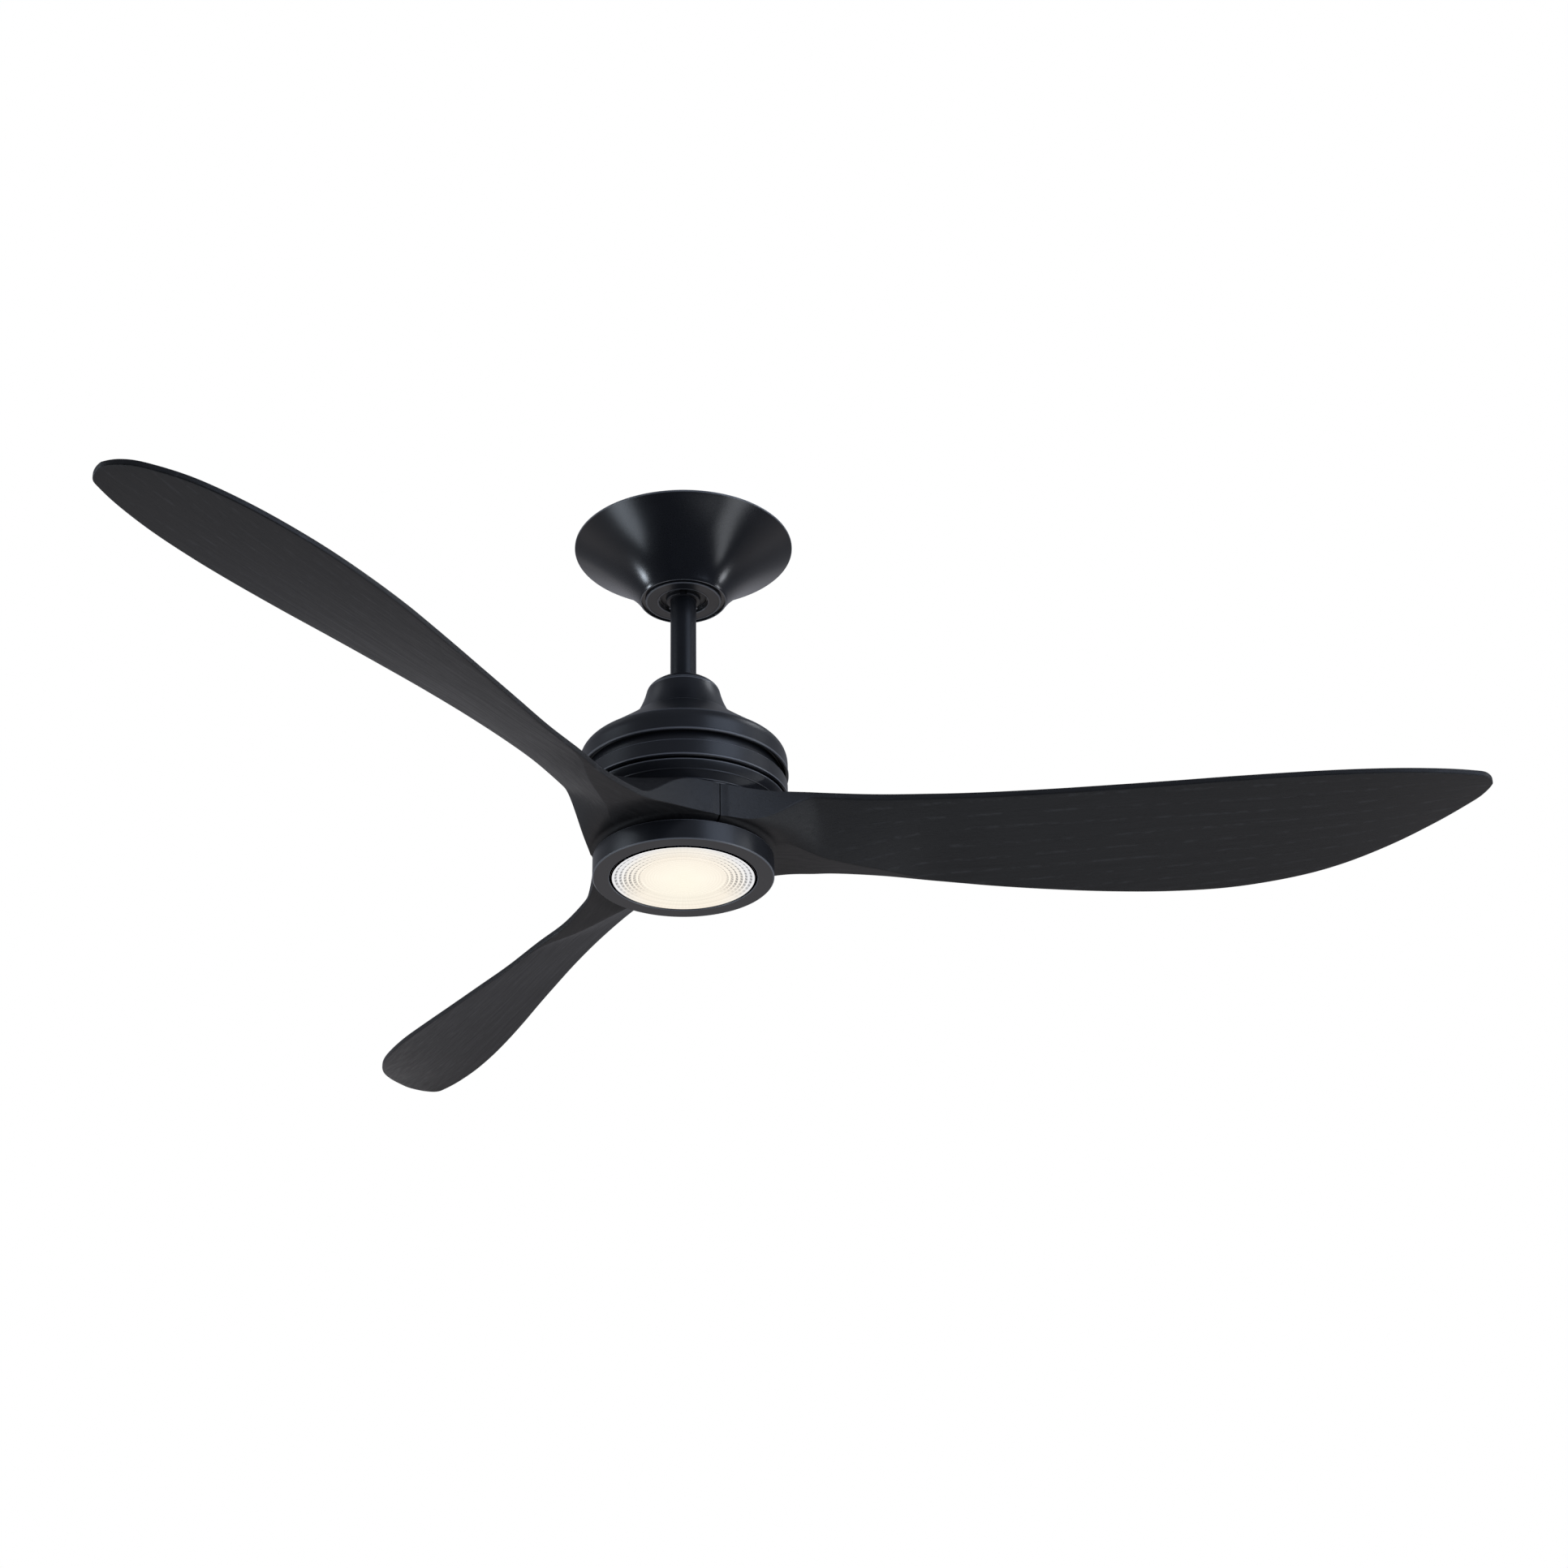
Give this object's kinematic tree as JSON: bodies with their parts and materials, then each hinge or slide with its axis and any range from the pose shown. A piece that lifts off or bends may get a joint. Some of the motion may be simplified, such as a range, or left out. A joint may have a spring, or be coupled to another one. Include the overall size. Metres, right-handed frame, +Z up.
{
  "type": "ceiling fan with light",
  "caption": "Ceiling fan with carved wooden blades on a turning hub, a banded round motor housing, a short downrod with a ball swivel, a bowl canopy and a round lit lens underneath.",
  "frame": {"origin": "on the fan's axis in the plane of the ceiling, at the middle of the ceiling plate's two outlet box slots", "axes": "+Z up along the fan's axis, +X along the line of the outlet box slots, the viewer of the usual picture looks along +Y"},
  "size_m": [1.045, 1.1323, 0.317],
  "materials": {
    "black_metal": "satin matte black powder coat",
    "black_casting": "satin matte black powder coat on cast aluminium",
    "zinc_steel": "zinc-plated pressed steel",
    "screw_steel": "machined steel",
    "lamination_steel": "dark laminated steel",
    "cast_aluminium": "as cast",
    "copper_wire": "enamelled copper wire",
    "dark_plastic": "moulded matte",
    "orange_plastic": "moulded",
    "white_plastic": "moulded white",
    "led_phosphor": "phosphor",
    "silicone": "soft grey silicone",
    "clear_lens": "moulded prismatic lens, lit warm white",
    "wire_insulation": "wire insulation",
    "stained_wood": "carved solid wood, black-brown stain, satin lacquer, open grain"
  },
  "bodies": {
    "ceiling_mount": {"ceiling_plate": "zinc_steel", "hanger_bracket": "zinc_steel", "bracket_rivets": "screw_steel", "canopy": "black_metal", "canopy_screws": "screw_steel", "canopy_trim_ring": "black_metal", "receiver_case": "dark_plastic", "wire_nuts": "orange_plastic"},
    "swivel_pin": {"hanger_pin": "screw_steel"},
    "hanging_fan": {"hanger_ball": "dark_plastic", "downrod": "black_metal", "coupling_cover": "black_metal", "motor_coupling": "cast_aluminium", "coupling_pin": "screw_steel", "pin_clip": "screw_steel", "set_screws": "screw_steel", "upper_housing": "black_metal", "housing_screws": "screw_steel", "lower_housing": "black_metal", "motor_shaft": "screw_steel", "stator_core": "lamination_steel", "stator_windings": "copper_wire", "light_plate": "zinc_steel", "shaft_nut": "screw_steel", "led_driver": "white_plastic", "light_pan": "cast_aluminium", "pan_screws": "screw_steel", "led_board": "white_plastic", "led_chips": "led_phosphor", "light_reflector": "white_plastic", "lens_gasket": "silicone", "lens": "clear_lens", "light_bezel": "black_casting", "motor_leads": "wire_insulation"},
    "rotor": {"rotor_can": "zinc_steel", "rotor_magnets": "lamination_steel", "rotor_cover": "cast_aluminium", "upper_bearing": "screw_steel", "lower_bearing": "screw_steel", "blade_carrier": "black_casting", "carrier_screws": "screw_steel", "blade_1": "stained_wood", "blade_2": "stained_wood", "blade_3": "stained_wood", "blade_screws": "screw_steel"}
  },
  "joints": [
    {"name": "ball_roll", "type": "hinge", "parent": "ceiling_mount", "child": "swivel_pin", "pos_m": [0, 0, -0.0325], "axis": [0, 1, 0], "range_deg": [-8, 8]},
    {"name": "ball_pitch", "type": "hinge", "parent": "swivel_pin", "child": "hanging_fan", "pos_m": [0, 0, -0.0325], "axis": [1, 0, 0], "range_deg": [-8, 8]},
    {"name": "rotor_spin", "type": "hinge", "parent": "hanging_fan", "child": "rotor", "pos_m": [0, 0, -0.25], "axis": [0, 0, 1], "continuous": true}
  ]
}
